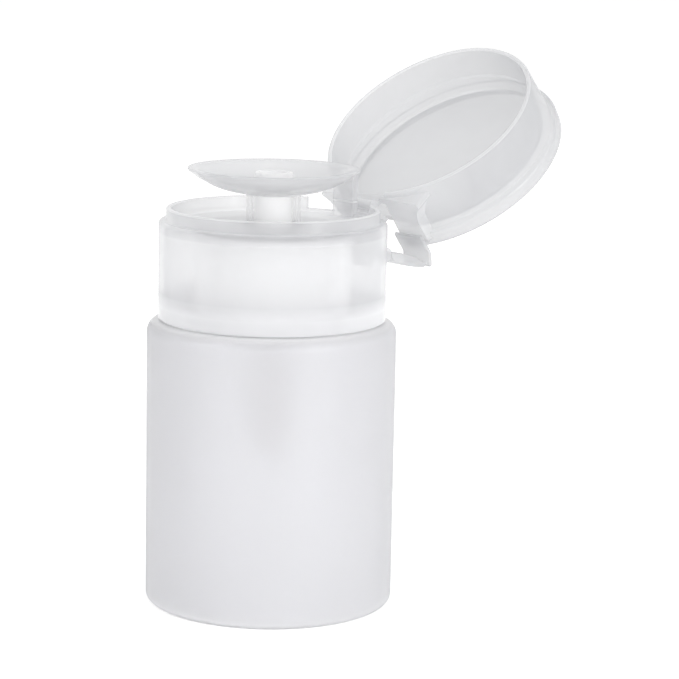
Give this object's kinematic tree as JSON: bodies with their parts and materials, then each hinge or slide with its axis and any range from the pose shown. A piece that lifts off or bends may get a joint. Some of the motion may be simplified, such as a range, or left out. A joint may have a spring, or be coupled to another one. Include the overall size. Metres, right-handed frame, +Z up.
{
  "type": "nail polish remover pump",
  "caption": "Round frosted push-down pump bottle for nail polish remover, with a dished pump plate on a screw-on closure and a flip lid on strap hinges.",
  "frame": {"origin": "centre of the flat base that the bottle stands on", "axes": "+Z up along the bottle's axis, +Y towards the hinge of the lid, +X to the right seen from the front"},
  "size_m": [0.058, 0.1127, 0.1268],
  "materials": {
    "bottle": "frosted translucent blown plastic",
    "neck_gasket": "soft white foam washer",
    "pump_housing": "natural translucent moulded plastic",
    "lock_ring": "white moulded plastic",
    "ball_cage": "white moulded plastic",
    "dip_tube": "natural translucent extruded plastic",
    "inlet_ball": "clear polished glass",
    "outlet_ball": "clear polished glass",
    "return_spring": "bright drawn wire",
    "piston_seal": "soft natural plastic",
    "stem": "white moulded plastic",
    "pump_plate": "frosted translucent moulded plastic",
    "outlet_nozzle": "white moulded plastic",
    "closure": "translucent moulded plastic with a satin skin",
    "flip_lid": "clear to milky moulded plastic",
    "strap_lower_left": "clear to milky moulded plastic",
    "strap_lower_right": "clear to milky moulded plastic",
    "strap_upper_left": "clear to milky moulded plastic",
    "strap_upper_right": "clear to milky moulded plastic"
  },
  "bodies": {
    "bottle": {"bottle": "bottle"},
    "pump_body": {"pump_housing": "pump_housing", "neck_gasket": "neck_gasket", "lock_ring": "lock_ring", "ball_cage": "ball_cage", "dip_tube": "dip_tube"},
    "inlet_ball": {"inlet_ball": "inlet_ball"},
    "plunger": {"pump_plate": "pump_plate", "outlet_nozzle": "outlet_nozzle", "stem": "stem", "piston_seal": "piston_seal", "return_spring": "return_spring"},
    "outlet_ball": {"outlet_ball": "outlet_ball"},
    "closure": {"closure": "closure"},
    "flip_lid": {"flip_lid": "flip_lid"},
    "strap_lower": {"strap_lower_left": "strap_lower_left", "strap_lower_right": "strap_lower_right"},
    "strap_upper": {"strap_upper_left": "strap_upper_left", "strap_upper_right": "strap_upper_right"}
  },
  "joints": [
    {"name": "pump_lift", "type": "slide", "parent": "bottle", "child": "pump_body", "axis": [0, 0, 1], "range_m": [0, 0.0085]},
    {"name": "closure_turn", "type": "hinge", "parent": "pump_body", "child": "closure", "pos_m": [0, 0, 0], "axis": [0, 0, 1], "range_deg": [0, 720]},
    {"name": "lid_hinge", "type": "hinge", "parent": "closure", "child": "flip_lid", "pos_m": [0, 0.02925, 0.09105], "axis": [1, 0, 0], "range_deg": [0, 141.7]},
    {"name": "strap_lower_hinge", "type": "hinge", "parent": "closure", "child": "strap_lower", "pos_m": [0, 0.0272, 0.0805], "axis": [1, 0, 0], "range_deg": [0, 102.3]},
    {"name": "strap_upper_hinge", "type": "hinge", "parent": "flip_lid", "child": "strap_upper", "pos_m": [0, 0.03675, 0.08366], "axis": [1, 0, 0], "range_deg": [-167.4, 0]},
    {"name": "pump_press", "type": "slide", "parent": "pump_body", "child": "plunger", "axis": [0, 0, -1], "range_m": [0, 0.006], "stiffness_N_per_m": 600, "springref_m": -0.004, "deforming": ["return_spring"]},
    {"name": "inlet_ball_lift", "type": "slide", "parent": "pump_body", "child": "inlet_ball", "axis": [0, 0, 1], "range_m": [0, 0.0009]},
    {"name": "outlet_ball_lift", "type": "slide", "parent": "plunger", "child": "outlet_ball", "axis": [0, 0, 1], "range_m": [0, 0.0009]}
  ],
  "couplings": [
    {"joint": "pump_lift", "follows": "closure_turn", "m_per_rad": 0.00066845},
    {"joint": "strap_lower_hinge", "follows": "lid_hinge", "ratio": 0.7211},
    {"joint": "strap_upper_hinge", "follows": "lid_hinge", "ratio": -1.1806}
  ]
}
